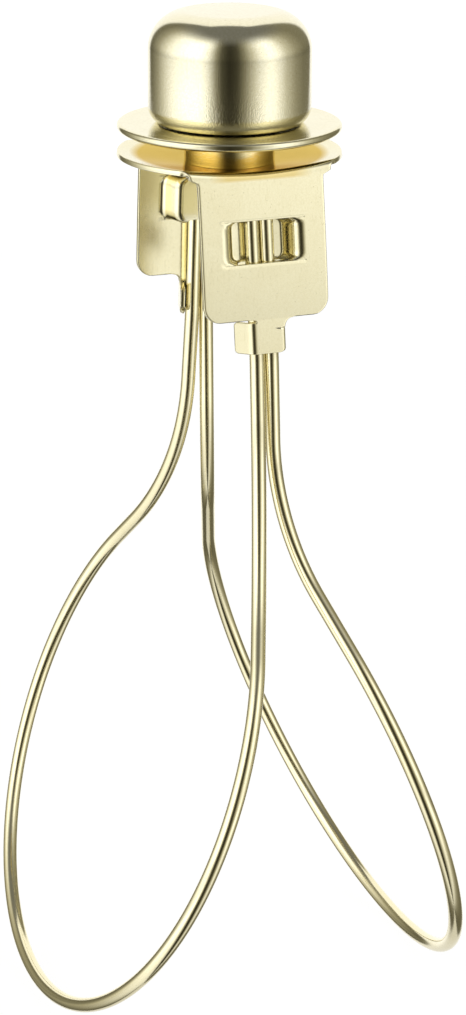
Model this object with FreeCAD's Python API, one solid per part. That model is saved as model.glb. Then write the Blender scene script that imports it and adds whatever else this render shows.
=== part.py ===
import FreeCAD, Part
import math
import os

# Clip-on lampshade adapter, in millimetres.
# The origin is on the screw axis, where the neck stands on the bracket's disc.
# +Z points up through the cap, -Y out of the front plate, +X to the right wire loop.

V = FreeCAD.Vector
up = V(0, 0, 1)

# Folded bracket: a shallow bowl of a disc with two plates folded down from it
bracketGauge = 0.6
discRadius = 13.05
discFloorRadius = 6.0
discRise = 1.25
plateReach = 9.79
plateHalfWidth = 7.7
plateCornerRadius = 2.0
shoulderFlare = 0.5
foldRadius = 0.75

# The two plates stand at slightly different slopes
frontPlate = {
    "turn": 0,
    "splay": 7.9,
    "depth": 16.2,
    "tongueLength": 3.95,
    "strapCentre": 7.4,
}
rearPlate = {
    "turn": 180,
    "splay": 4.0,
    "depth": 15.9,
    "tongueLength": 4.5,
    "strapCentre": 6.15,
}

# Strap lanced inwards across each plate, which holds the wires against the plate
strapHalfSpan = 5.2
strapHalfFlat = 3.5
strapShelf = 1.25
strapHeight = 4.9
strapRootRadius = 0.6
strapBendRadius = 0.35

# Tongue under each plate, with a crimp wing folded inwards from each side
tongueHalfWidth = 1.38
tongueRootRadius = 0.8
wingLength = 3.0
wingBendRadius = 0.3
wingDrop = 0.35
wingCornerRadius = 0.5
openWingAngle = 58
closedWingAngle = 74

# Neck and screwed post, staked through the disc
neckRadius = 5.3
neckHeight = 3.2
postRadius = 3.1
postTop = 12.2
shankRadius = 2.6
stakeRadius = 3.7
stakeHeight = 0.9

# Dish that presses a shade's ring down, flat with a turned-down edge
dishGauge = 0.4
dishUnderside = 4.15
dishRadius = 13.1
dishEdgeRadius = 12.5
dishEdgeHeight = 3.5
dishShoulderHeight = 3.85
dishBendRadius = 0.4

# Cap: a drawn shell over a tapped nut
capGauge = 0.5
capRadius = 9.5
capTop = 17.45
capCrownRadius = 4.5
capHemRadius = 1.3
capMouthRadius = 7.2
capGap = 0.05
nutSpigotRadius = 4.55
nutSkirtRadius = 6.5
nutBodyRadius = 5.6
nutFlangeHeight = 2.1
nutLength = 10.4
nutLipRadius = 5.05

# Two wire loops, each held by both plates
wireDiameter = 1.75
wireTopDepth = 3.45
crimpExitDepth = 20.95
crimpExitRadius = 20.0
leftLoop = {
    "ringRadius": 31.3,
    "tilt": 21.5,
    "shoulderOut": 0.95,
    "shoulderOverRing": 4.22,
    "shoulderSpread": 12.6,
    "shoulderHeight": -41.45,
    "shoulderRadius": 36.0,
}
rightLoop = {
    "ringRadius": 30.6,
    "tilt": 20.7,
    "shoulderOut": 1.6,
    "shoulderOverRing": 5.1,
    "shoulderSpread": 10.9,
    "shoulderHeight": -41.45,
    "shoulderRadius": 25.0,
}

# Clearances
wireClearance = 0.05
shankClearance = 0.02
postClearance = 0.08
spigotClearance = 0.05
endClearance = 0.05
flangeClearance = 0.05
shearGap = 0.05

# Edge rounding
edgeRound = 0.12
postChamfer = 0.5

# Room around the bracket, for the blocks that trim it
blank = 16.0
blankTop = 4.0
blankBottom = -24.0


def flat(a, b):
    return V(a, b, 0)


def upright(a, b):
    return V(a, 0, b)


def acrossX(a, b):
    return V(0, a, b)


def roundedWire(corners, place):
    # Closed wire through the corners (a, b, radius), each rounded by a tangent arc
    arcs = []
    count = len(corners)
    for i in range(count):
        a, b, radius = corners[i]
        here = V(a, b, 0)
        back = V(*corners[i - 1][:2], 0) - here
        ahead = V(*corners[(i + 1) % count][:2], 0) - here
        back.normalize()
        ahead.normalize()
        half = back.getAngle(ahead) / 2
        setback = radius / math.tan(half)
        inward = back + ahead
        middle = here
        if radius > 0:
            inward.normalize()
            middle = here + inward * (radius / math.sin(half) - radius)
        arcs.append((here + back * setback, middle, here + ahead * setback, radius))
    edges = []
    for i in range(count):
        start, middle, end, radius = arcs[i]
        following = arcs[(i + 1) % count][0]
        if radius > 0:
            edges.append(Part.Arc(*(place(p.x, p.y) for p in (start, middle, end))).toShape())
        if (following - end).Length > 1e-6:
            edges.append(Part.makeLine(place(end.x, end.y), place(following.x, following.y)))
    return Part.Wire(edges)


def roundedFace(corners, place):
    return Part.Face(roundedWire(corners, place))


def turned(corners):
    # Solid of revolution about the screw axis, from corners (radius, height, rounding)
    return roundedFace(corners, upright).revolve(V(0, 0, 0), up, 360)


def bentStrip(path, gauge, endRound=0.0):
    # Outline of a bent sheet: the path (a, b, bend radius) is one face,
    # and the other face lies one gauge to the left of the way along it
    points = [V(a, b, 0) for a, b, radius in path]
    runs = [(end - start).normalize() for start, end in zip(points, points[1:])]
    last = len(path) - 1
    near = []
    far = []
    for i, (a, b, radius) in enumerate(path):
        arriving = runs[max(i - 1, 0)]
        leaving = runs[min(i, last - 1)]
        leftOf = [V(-run.y, run.x, 0) for run in (arriving, leaving)]
        shift = (leftOf[0] + leftOf[1]) * (gauge / (1 + leftOf[0].dot(leftOf[1])))
        turnsLeft = arriving.cross(leaving).z > 0
        isEnd = i in (0, last)
        near.append((a, b, endRound if isEnd else radius))
        farRadius = radius - gauge if turnsLeft else radius + gauge
        far.append((a + shift.x, b + shift.y, endRound if isEnd else farRadius))
    return near + far[::-1]


def block(x, y, z):
    # Box between two limits on each axis
    return Part.makeBox(x[1] - x[0], y[1] - y[0], z[1] - z[0], V(x[0], y[0], z[0]))


def onPlate(shape, plate):
    # Leans a shape made on an upright front plate to the plate's slope, and turns it to its side
    leant = shape.copy()
    leant.rotate(V(0, -plateReach, 0), V(1, 0, 0), -plate["splay"])
    leant.rotate(V(0, 0, 0), up, plate["turn"])
    return leant


def underBowl(depth):
    # Everything under the bowl's top face, lowered by a depth
    slope = discRise / (discRadius - discFloorRadius)
    return turned([
        (0, blankBottom, 0),
        (blank, blankBottom, 0),
        (blank, (blank - discFloorRadius) * slope - depth, 0),
        (discFloorRadius, -depth, 0),
        (0, -depth, 0),
    ])


def plateFace(plate, inset, height):
    # Distance from the middle to a plate's outer face, moved in by an inset, at a height
    lean = math.radians(plate["splay"])
    return plateReach - inset / math.cos(lean) - height * math.tan(lean)


def foldedCore(inset):
    # The space inside the folded sheet's outer faces, moved in by an inset
    trapezoid = roundedFace([
        (-plateFace(frontPlate, inset, blankBottom), blankBottom, 0),
        (plateFace(rearPlate, inset, blankBottom), blankBottom, 0),
        (plateFace(rearPlate, inset, blankTop), blankTop, 0),
        (-plateFace(frontPlate, inset, blankTop), blankTop, 0),
    ], acrossX)
    trapezoid.translate(V(-blank + 1, 0, 0))
    core = trapezoid.extrude(V(2 * blank - 2, 0, 0)).common(underBowl(inset))
    folds = [e for e in core.Edges if isFold(e)]
    return core.makeFillet(foldRadius - inset, folds)


def isFold(edge):
    centre = edge.BoundBox.Center
    return abs(centre.y) > plateReach / 2 and centre.z > -bracketGauge * 2 and abs(centre.x) < 0.1


def halfOutline(plate):
    # The bracket's outline seen from the front, down to the plate's tongue, over its own half
    low = -plate["depth"]
    tip = low - plate["tongueLength"]
    side = [
        (tongueHalfWidth, tip, 0),
        (tongueHalfWidth, low, tongueRootRadius),
        (plateHalfWidth, low, plateCornerRadius),
        (plateHalfWidth, 0, shoulderFlare),
        (blank, 0, 0),
        (blank, blankTop, 0),
    ]
    mirrored = [(-a, b, radius) for a, b, radius in side[::-1]]
    half = roundedFace(side + mirrored, upright).extrude(V(0, -blank, 0))
    half.rotate(V(0, 0, 0), up, plate["turn"])
    return half


def strap(plate):
    # Cross-section seen from above, between the two ends of the lanced slot
    wireSpace = wireDiameter + 2 * wireClearance
    outside = -plateReach
    pushed = -plateReach + bracketGauge + wireSpace
    shelf = strapHalfSpan - strapShelf
    section = bentStrip([
        (-strapHalfSpan, outside, 0),
        (-shelf, outside, strapRootRadius + bracketGauge),
        (-strapHalfFlat, pushed, strapBendRadius),
        (strapHalfFlat, pushed, strapBendRadius),
        (shelf, outside, strapRootRadius + bracketGauge),
        (strapHalfSpan, outside, 0),
    ], bracketGauge)
    height = strapHeight - 2 * shearGap
    face = roundedFace(section, flat)
    face.translate(V(0, 0, -plate["strapCentre"] - height / 2))
    return face.extrude(V(0, 0, height))


def strapSlot(plate):
    return block(
        (-strapHalfSpan, strapHalfSpan),
        (-plateReach - bracketGauge, -plateReach + 2 * bracketGauge),
        (-plate["strapCentre"] - strapHeight / 2, -plate["strapCentre"] + strapHeight / 2),
    )


def wing(plate, side, angle):
    # Crimp wing: a bend from the tongue's edge, then a flat panel with rounded corners
    turn = math.radians(angle)
    outerRadius = wingBendRadius + bracketGauge
    corner = tongueHalfWidth + outerRadius * math.tan(turn / 2)
    far = corner + wingLength * math.cos(turn)
    face = roundedFace(bentStrip([
        (tongueHalfWidth - bracketGauge, -plateReach, 0),
        (corner, -plateReach, outerRadius),
        (far, -plateReach + wingLength * math.sin(turn), 0),
    ], bracketGauge), flat)
    face.translate(V(0, 0, -plate["depth"] - plate["tongueLength"]))
    panel = face.extrude(V(0, 0, plate["tongueLength"] - wingDrop))
    across = V(math.sin(turn), -math.cos(turn), 0)
    tips = [e for e in panel.Edges if e.CenterOfMass.x > corner and runsAlong(e, across)]
    panel = panel.makeFillet(wingCornerRadius, tips)
    if side < 0:
        panel = panel.mirror(V(0, 0, 0), V(1, 0, 0))
    return panel


def runsAlong(edge, direction):
    run = edge.Vertexes[-1].Point - edge.Vertexes[0].Point
    return run.Length > 0 and abs(run.normalize().dot(direction)) > 0.999


def bracket():
    sheet = foldedCore(0).cut(foldedCore(bracketGauge))
    sheet = sheet.common(halfOutline(frontPlate).fuse(halfOutline(rearPlate)))
    # The disc is round in plan, down to where the plates' own outline takes over
    ring = block((-2 * blank, 2 * blank), (-2 * blank, 2 * blank), (-shoulderFlare, blankTop))
    ring = ring.cut(Part.makeCylinder(discRadius, 4 * blankTop, V(0, 0, -2 * blankTop)))
    sheet = sheet.cut(ring)
    sheet = sheet.cut(Part.makeCylinder(shankRadius + shankClearance, 2 * blankTop, V(0, 0, -blankTop)))
    for plate in (frontPlate, rearPlate):
        sheet = sheet.cut(onPlate(strapSlot(plate), plate))
        wings = [wing(plate, -1, openWingAngle), wing(plate, 1, closedWingAngle)]
        for piece in [strap(plate)] + wings:
            sheet = sheet.fuse(onPlate(piece, plate))
    return sheet.removeSplitter()


def threadedStud():
    stakeTop = -bracketGauge
    stakeBase = stakeTop - stakeHeight
    return turned([
        (0, postTop, 0),
        (postRadius - postChamfer, postTop, 0),
        (postRadius, postTop - postChamfer, 0),
        (postRadius, neckHeight, 0),
        (neckRadius, neckHeight, 2 * edgeRound),
        (neckRadius, 0, 0),
        (shankRadius, 0, 0),
        (shankRadius, stakeTop, 0),
        (stakeRadius, stakeTop, 0),
        (stakeRadius, stakeBase, 3 * edgeRound),
        (0, stakeBase, 0),
    ])


def dishTop():
    return dishUnderside + dishGauge


def retainingDish():
    # Drawn from the turned-down edge's tip, up and over its shoulder, and in to the hole
    return turned(bentStrip([
        (dishEdgeRadius, dishEdgeHeight, 0),
        (dishRadius, dishShoulderHeight, dishBendRadius),
        (dishRadius, dishTop(), dishBendRadius),
        (nutSpigotRadius + spigotClearance, dishTop(), 0),
    ], dishGauge, edgeRound))


def capHem():
    # Height of the cap's lowest edge, a gap above the dish
    return dishTop() + capGap


def capShell():
    hem = capHem()
    return turned([
        (0, capTop, 0),
        (capRadius, capTop, capCrownRadius),
        (capRadius, hem, capHemRadius),
        (capMouthRadius, hem, edgeRound),
        (capMouthRadius, hem + capGauge, edgeRound),
        (capRadius - capGauge, hem + capGauge, capHemRadius - capGauge),
        (capRadius - capGauge, capTop - capGauge, capCrownRadius - capGauge),
        (0, capTop - capGauge, 0),
    ])


def capNut():
    # Lip under the dish, spigot through it, skirt above it, then a flange in the cap's hem
    bore = postRadius + postClearance
    foot = neckHeight + 2 * endClearance
    skirtFoot = dishTop() + endClearance
    seat = capHem() + capGauge
    flange = capRadius - capGauge - flangeClearance
    return turned([
        (bore, foot, 0),
        (nutLipRadius, foot, edgeRound),
        (nutLipRadius, dishUnderside - endClearance, edgeRound),
        (nutSpigotRadius, dishUnderside - endClearance, 0),
        (nutSpigotRadius, skirtFoot, 0),
        (nutSkirtRadius, skirtFoot, edgeRound),
        (nutSkirtRadius, seat, 0),
        (flange, seat, capHemRadius - capGauge),
        (flange, seat + nutFlangeHeight, edgeRound),
        (nutBodyRadius, seat + nutFlangeHeight, 0),
        (nutBodyRadius, foot + nutLength, edgeRound),
        (bore, foot + nutLength, 0),
    ])


def bend(before, corner, after, radius):
    # Arc that rounds a corner of the wire's route, as its start, middle and end
    back = (before - corner).normalize()
    ahead = (after - corner).normalize()
    half = back.getAngle(ahead) / 2
    setback = radius / math.tan(half)
    inward = (back + ahead).normalize()
    middle = corner + inward * (radius / math.sin(half) - radius)
    return corner + back * setback, middle, corner + ahead * setback


def wireLoop(loop, side):
    # One round wire: down the front plate, round the ring, and up the rear plate
    tilt = math.radians(loop["tilt"])
    radius = loop["ringRadius"]
    lane = wireDiameter / 2 + wireClearance / 2
    inset = bracketGauge + wireClearance + wireDiameter / 2
    shoulder = V(loop["shoulderOut"], loop["shoulderSpread"], loop["shoulderHeight"])
    down = V(math.sin(tilt), 0, -math.cos(tilt))
    distance = radius + loop["shoulderOverRing"]
    drop = math.sqrt(distance ** 2 - shoulder.y ** 2)
    centre = V(shoulder.x, 0, shoulder.z) + down * drop
    toShoulder = (shoulder - centre).normalize()
    sideways = (V(0, 1, 0) - toShoulder * toShoulder.y).normalize()
    share = radius / distance
    touch = centre + (toShoulder * share + sideways * math.sqrt(1 - share ** 2)) * radius
    bottom = centre + down * radius

    def put(point, plate):
        return V(side * point.x, point.y if plate is rearPlate else -point.y, point.z)

    def leg(plate):
        top = V(lane, plateFace(plate, inset, -wireTopDepth), -wireTopDepth)
        crimpExit = V(lane, plateFace(plate, inset, -crimpExitDepth), -crimpExitDepth)
        exitBend = bend(top, crimpExit, shoulder, crimpExitRadius)
        shoulderBend = bend(crimpExit, shoulder, touch, loop["shoulderRadius"])
        return [
            Part.makeLine(put(top, plate), put(exitBend[0], plate)),
            Part.Arc(*(put(p, plate) for p in exitBend)).toShape(),
            Part.makeLine(put(exitBend[2], plate), put(shoulderBend[0], plate)),
            Part.Arc(*(put(p, plate) for p in shoulderBend)).toShape(),
            Part.makeLine(put(shoulderBend[2], plate), put(touch, plate)),
        ]

    ring = Part.Arc(put(touch, frontPlate), put(bottom, frontPlate), put(touch, rearPlate)).toShape()
    legs = leg(frontPlate)
    start = legs[0].Vertexes[0].Point
    along = (legs[0].Vertexes[1].Point - start).normalize()
    route = Part.Wire(Part.__sortEdges__(legs + [ring] + leg(rearPlate)))
    disc = Part.Circle(start, along, wireDiameter / 2)
    tube = route.makePipeShell([Part.Wire(disc.toShape())], True, True)
    print("loop", side, "length", round(route.Length, 1), "volume ratio",
          round(tube.Volume / (route.Length * math.pi * wireDiameter ** 2 / 4), 4))
    return tube


pieces = {
    "bracket": bracket(),
    "threaded_stud": threadedStud(),
    "retaining_dish": retainingDish(),
    "cap_shell": capShell(),
    "cap_nut": capNut(),
    "left_wire_loop": wireLoop(leftLoop, -1),
    "right_wire_loop": wireLoop(rightLoop, 1),
}

os.makedirs("parts", exist_ok=True)
for name, shape in pieces.items():
    box = shape.BoundBox
    print(name, "solids", len(shape.Solids), "valid", shape.isValid(), "volume", round(shape.Volume, 2),
          "from", [round(v, 2) for v in (box.XMin, box.YMin, box.ZMin)],
          "to", [round(v, 2) for v in (box.XMax, box.YMax, box.ZMax)])
    shape.exportStep("parts/" + name + ".step")
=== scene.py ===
import bpy
import bmesh
import math
from mathutils import Matrix, Vector


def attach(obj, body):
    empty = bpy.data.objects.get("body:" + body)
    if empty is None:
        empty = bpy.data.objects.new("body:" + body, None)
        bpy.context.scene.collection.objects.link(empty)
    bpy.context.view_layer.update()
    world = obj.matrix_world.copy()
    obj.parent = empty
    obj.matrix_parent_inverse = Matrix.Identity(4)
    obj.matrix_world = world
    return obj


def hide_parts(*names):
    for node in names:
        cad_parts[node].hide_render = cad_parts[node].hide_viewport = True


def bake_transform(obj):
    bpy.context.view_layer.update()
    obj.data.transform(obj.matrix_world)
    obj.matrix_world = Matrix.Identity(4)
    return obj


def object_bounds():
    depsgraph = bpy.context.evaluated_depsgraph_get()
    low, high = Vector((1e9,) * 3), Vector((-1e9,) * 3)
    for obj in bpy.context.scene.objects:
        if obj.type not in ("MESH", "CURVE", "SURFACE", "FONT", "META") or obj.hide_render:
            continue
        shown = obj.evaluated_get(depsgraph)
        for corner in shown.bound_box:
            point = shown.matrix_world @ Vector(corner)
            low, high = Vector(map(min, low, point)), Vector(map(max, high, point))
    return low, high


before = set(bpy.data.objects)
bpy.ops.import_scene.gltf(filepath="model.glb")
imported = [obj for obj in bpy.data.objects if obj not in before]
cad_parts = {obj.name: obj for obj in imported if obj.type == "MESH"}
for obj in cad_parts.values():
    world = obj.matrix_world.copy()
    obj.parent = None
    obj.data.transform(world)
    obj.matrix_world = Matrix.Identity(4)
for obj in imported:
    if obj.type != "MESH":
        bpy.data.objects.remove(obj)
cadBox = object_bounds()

# Clip-on lampshade adapter. The object's sizes are in millimetres, and meshes, the studio
# and the camera are in metres.
mm = 0.001


# Small helpers

def addObject(name, data, material=None):
    thing = bpy.data.objects.new(name, data)
    bpy.context.scene.collection.objects.link(thing)
    if material:
        data.materials.clear()
        data.materials.append(material)
    return thing


def bakedMesh(thing):
    # what the modifiers make, as a plain mesh; the modifiers then go
    bpy.context.view_layer.update()
    evaluated = thing.evaluated_get(bpy.context.evaluated_depsgraph_get())
    mesh = bpy.data.meshes.new_from_object(evaluated)
    thing.modifiers.clear()
    return mesh


def bakeModifiers(piece):
    old = piece.data
    piece.data = bakedMesh(piece)
    bpy.data.meshes.remove(old)


def smoothShade(mesh, degrees=35):
    mesh.shade_smooth()
    mesh.set_sharp_from_angle(angle=math.radians(degrees))


def onArc(start, corner, end, weight, t):
    # a point of the arc from start to end that leans towards the corner by its weight
    parts = ((1 - t) ** 2, 2 * weight * t * (1 - t), t ** 2)
    return (start * parts[0] + corner * parts[1] + end * parts[2]) / sum(parts)


def roundCorners(corners, closed=False):
    # (a, b, radius) corners become points, each corner on an arc in steps of about 6 degrees
    points = []
    count = len(corners)
    for i, (a, b, radius) in enumerate(corners):
        here = Vector((a, b))
        if radius == 0 or (not closed and i in (0, count - 1)):
            points.append(here)
            continue
        back = (Vector(corners[i - 1][:2]) - here).normalized()
        ahead = (Vector(corners[(i + 1) % count][:2]) - here).normalized()
        half = back.angle(ahead) / 2
        start = here + back * (radius / math.tan(half))
        end = here + ahead * (radius / math.tan(half))
        steps = max(3, round(math.degrees(math.pi - 2 * half) / 6))
        points += [onArc(start, here, end, math.sin(half), k / steps) for k in range(steps + 1)]
    return points


def turnedPiece(name, corners, material, segments=160):
    # solid of revolution: the outline starts and ends on the axis, or is a closed ring
    ring = corners[0][0] > 0
    outline = roundCorners(corners, closed=ring)
    bm = bmesh.new()
    rows = []
    for k in range(segments):
        angle = 2 * math.pi * k / segments
        turn = (math.cos(angle) * mm, math.sin(angle) * mm)
        rows.append([bm.verts.new((p.x * turn[0], p.x * turn[1], p.y * mm)) for p in outline])
    count = len(outline)
    for k in range(segments):
        here, after = rows[k], rows[(k + 1) % segments]
        for i in range(count if ring else count - 1):
            j = (i + 1) % count
            bm.faces.new((here[i], after[i], after[j], here[j]))
    bmesh.ops.remove_doubles(bm, verts=bm.verts, dist=1e-7)
    bmesh.ops.recalc_face_normals(bm, faces=bm.faces)
    mesh = bpy.data.meshes.new(name)
    bm.to_mesh(mesh)
    bm.free()
    smoothShade(mesh)
    return addObject(name, mesh, material)


# Helpers for node trees. An input is given a value, or the output that it is linked to.

def addNode(tree, kind, inputs=None, **settings):
    made = tree.nodes.new(kind)
    for key, value in settings.items():
        setattr(made, key, value)
    for key, value in (inputs or {}).items():
        if isinstance(value, bpy.types.NodeSocket):
            tree.links.new(value, made.inputs[key])
        else:
            made.inputs[key].default_value = value
    return made


def makeTree(kind, name, inputs, outputs):
    # a node group with named sockets, each a name, a kind and for some inputs a default
    tree = bpy.data.node_groups.new(name, kind)
    for label, socketKind, *value in inputs:
        socket = tree.interface.new_socket(label, in_out="INPUT", socket_type="NodeSocket" + socketKind)
        if value:
            socket.default_value = value[0]
    for label, socketKind in outputs:
        tree.interface.new_socket(label, in_out="OUTPUT", socket_type="NodeSocket" + socketKind)
    return tree, tree.nodes.new("NodeGroupInput").outputs


def calculate(tree, operation, *values, **settings):
    inputs = dict(enumerate(values))
    return addNode(tree, "ShaderNodeMath", inputs, operation=operation, **settings).outputs[0]


def remap(tree, source, start, end, top=1.0, **settings):
    # 0 up to the top value as the source goes from start to end
    inputs = {"Value": source, "From Min": start, "From Max": end, "To Max": top}
    return addNode(tree, "ShaderNodeMapRange", inputs, **settings).outputs["Result"]


def mixColours(tree, share, before, after):
    inputs = {"Factor": share, "A": before, "B": after}
    return addNode(tree, "ShaderNodeMix", inputs, data_type="RGBA").outputs["Result"]


def bumpNormal(tree, normal, height, strength, depth):
    inputs = {"Normal": normal, "Height": height, "Strength": strength, "Distance": depth * mm}
    return addNode(tree, "ShaderNodeBump", inputs).outputs["Normal"]


# Shader groups, built once and placed in each metal

def makeGrainGroup():
    # fine crystal grain of a plated surface: small cells over a softer mottling
    tree, given = makeTree("ShaderNodeTree", "platedGrain", [
        ("Vector", "Vector"),
        ("Scale", "Float", 6000.0),
        ("Contrast", "Float", 1.0),
    ], [("Mask", "Float"), ("Height", "Float")])
    cellScale, mottleScale, middle = 0.45, 0.12, 0.75
    place, scale = given["Vector"], given["Scale"]
    fine = addNode(tree, "ShaderNodeTexNoise", {
        "Vector": place, "Scale": scale, "Detail": 3.0, "Roughness": 0.6,
    })
    cells = addNode(tree, "ShaderNodeTexVoronoi", {
        "Vector": place, "Scale": calculate(tree, "MULTIPLY", scale, cellScale), "Randomness": 1.0,
    })
    soft = addNode(tree, "ShaderNodeTexNoise", {
        "Vector": place, "Scale": calculate(tree, "MULTIPLY", scale, mottleScale), "Detail": 2.0,
    })
    both = calculate(tree, "ADD", fine.outputs["Fac"], cells.outputs["Distance"])
    centred = calculate(tree, "SUBTRACT", both, middle)
    spread = calculate(tree, "MULTIPLY", centred, given["Contrast"])
    addNode(tree, "NodeGroupOutput", {
        "Mask": calculate(tree, "ADD", spread, 0.5, use_clamp=True),
        "Height": calculate(tree, "ADD", both, soft.outputs["Fac"]),
    })
    return tree


def makeStreakGroup():
    # drawing marks: noise pulled out along one direction by the stretch
    tree, given = makeTree("ShaderNodeTree", "drawnStreaks", [
        ("Vector", "Vector"),
        ("Stretch", "Vector", (1.0, 1.0, 0.03)),
        ("Scale", "Float", 3000.0),
    ], [("Mask", "Float"), ("Height", "Float")])
    thinScale = 4.0
    pull = addNode(tree, "ShaderNodeVectorMath", {0: given["Vector"], 1: given["Stretch"]},
                   operation="MULTIPLY")
    coarse = addNode(tree, "ShaderNodeTexNoise", {
        "Vector": pull.outputs[0], "Scale": given["Scale"], "Detail": 4.0, "Roughness": 0.65,
    })
    thin = addNode(tree, "ShaderNodeTexNoise", {
        "Vector": pull.outputs[0], "Scale": calculate(tree, "MULTIPLY", given["Scale"], thinScale),
        "Detail": 2.0,
    })
    marks = remap(tree, thin.outputs["Fac"], 0.62, 0.78)
    addNode(tree, "NodeGroupOutput", {
        "Mask": marks,
        "Height": calculate(tree, "ADD", coarse.outputs["Fac"], marks),
    })
    return tree


def makeHandlingGroup():
    # cloudy handling film and a few small tarnish specks
    tree, given = makeTree("ShaderNodeTree", "handlingFilm", [
        ("Vector", "Vector"),
        ("Scale", "Float", 160.0),
    ], [("Film", "Float"), ("Specks", "Float")])
    speckScale = 9.0
    cloud = addNode(tree, "ShaderNodeTexNoise", {
        "Vector": given["Vector"], "Scale": given["Scale"],
        "Detail": 5.0, "Roughness": 0.55, "Distortion": 0.4,
    })
    spots = addNode(tree, "ShaderNodeTexVoronoi", {
        "Vector": given["Vector"], "Scale": calculate(tree, "MULTIPLY", given["Scale"], speckScale),
        "Randomness": 1.0,
    })
    addNode(tree, "NodeGroupOutput", {
        "Film": remap(tree, cloud.outputs["Fac"], 0.38, 0.68),
        "Specks": remap(tree, spots.outputs["Distance"], 0.10, 0.04),
    })
    return tree


def makeEdgeGroup():
    # rubbed edges with a painted highlight: where a rounded normal leaves the true one
    tree, given = makeTree("ShaderNodeTree", "rubbedEdgesAndHighlight", [
        ("Reach", "Float", 0.15 * mm),
    ], [("Mask", "Float"), ("Normal", "Vector")])
    rounded = addNode(tree, "ShaderNodeBevel", {"Radius": given["Reach"]}, samples=6)
    surface = tree.nodes.new("ShaderNodeNewGeometry")
    along = addNode(tree, "ShaderNodeVectorMath", {
        0: rounded.outputs["Normal"], 1: surface.outputs["Normal"],
    }, operation="DOT_PRODUCT")
    addNode(tree, "NodeGroupOutput", {
        "Mask": remap(tree, along.outputs["Value"], 0.995, 0.85),
        "Normal": rounded.outputs["Normal"],
    })
    return tree


print("building shader groups")
grainGroup = makeGrainGroup()
streakGroup = makeStreakGroup()
handlingGroup = makeHandlingGroup()
edgeGroup = makeEdgeGroup()


def makeBowlReflectionMask(tree, place, bowlReflection):
    # where the gold dish's painted reflection deepens the disc's bowl: within a radius and above a height
    flat = addNode(tree, "ShaderNodeVectorMath", {0: place, 1: (1.0, 1.0, 0.0)}, operation="MULTIPLY")
    away = addNode(tree, "ShaderNodeVectorMath", {0: flat.outputs[0]}, operation="LENGTH")
    apart = addNode(tree, "ShaderNodeSeparateXYZ", {0: place})
    within = remap(tree, away.outputs["Value"], *(radius * mm for radius in bowlReflection["radii"]))
    above = remap(tree, apart.outputs["Z"], *(height * mm for height in bowlReflection["heights"]))
    return calculate(tree, "MULTIPLY", within, above)


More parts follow.
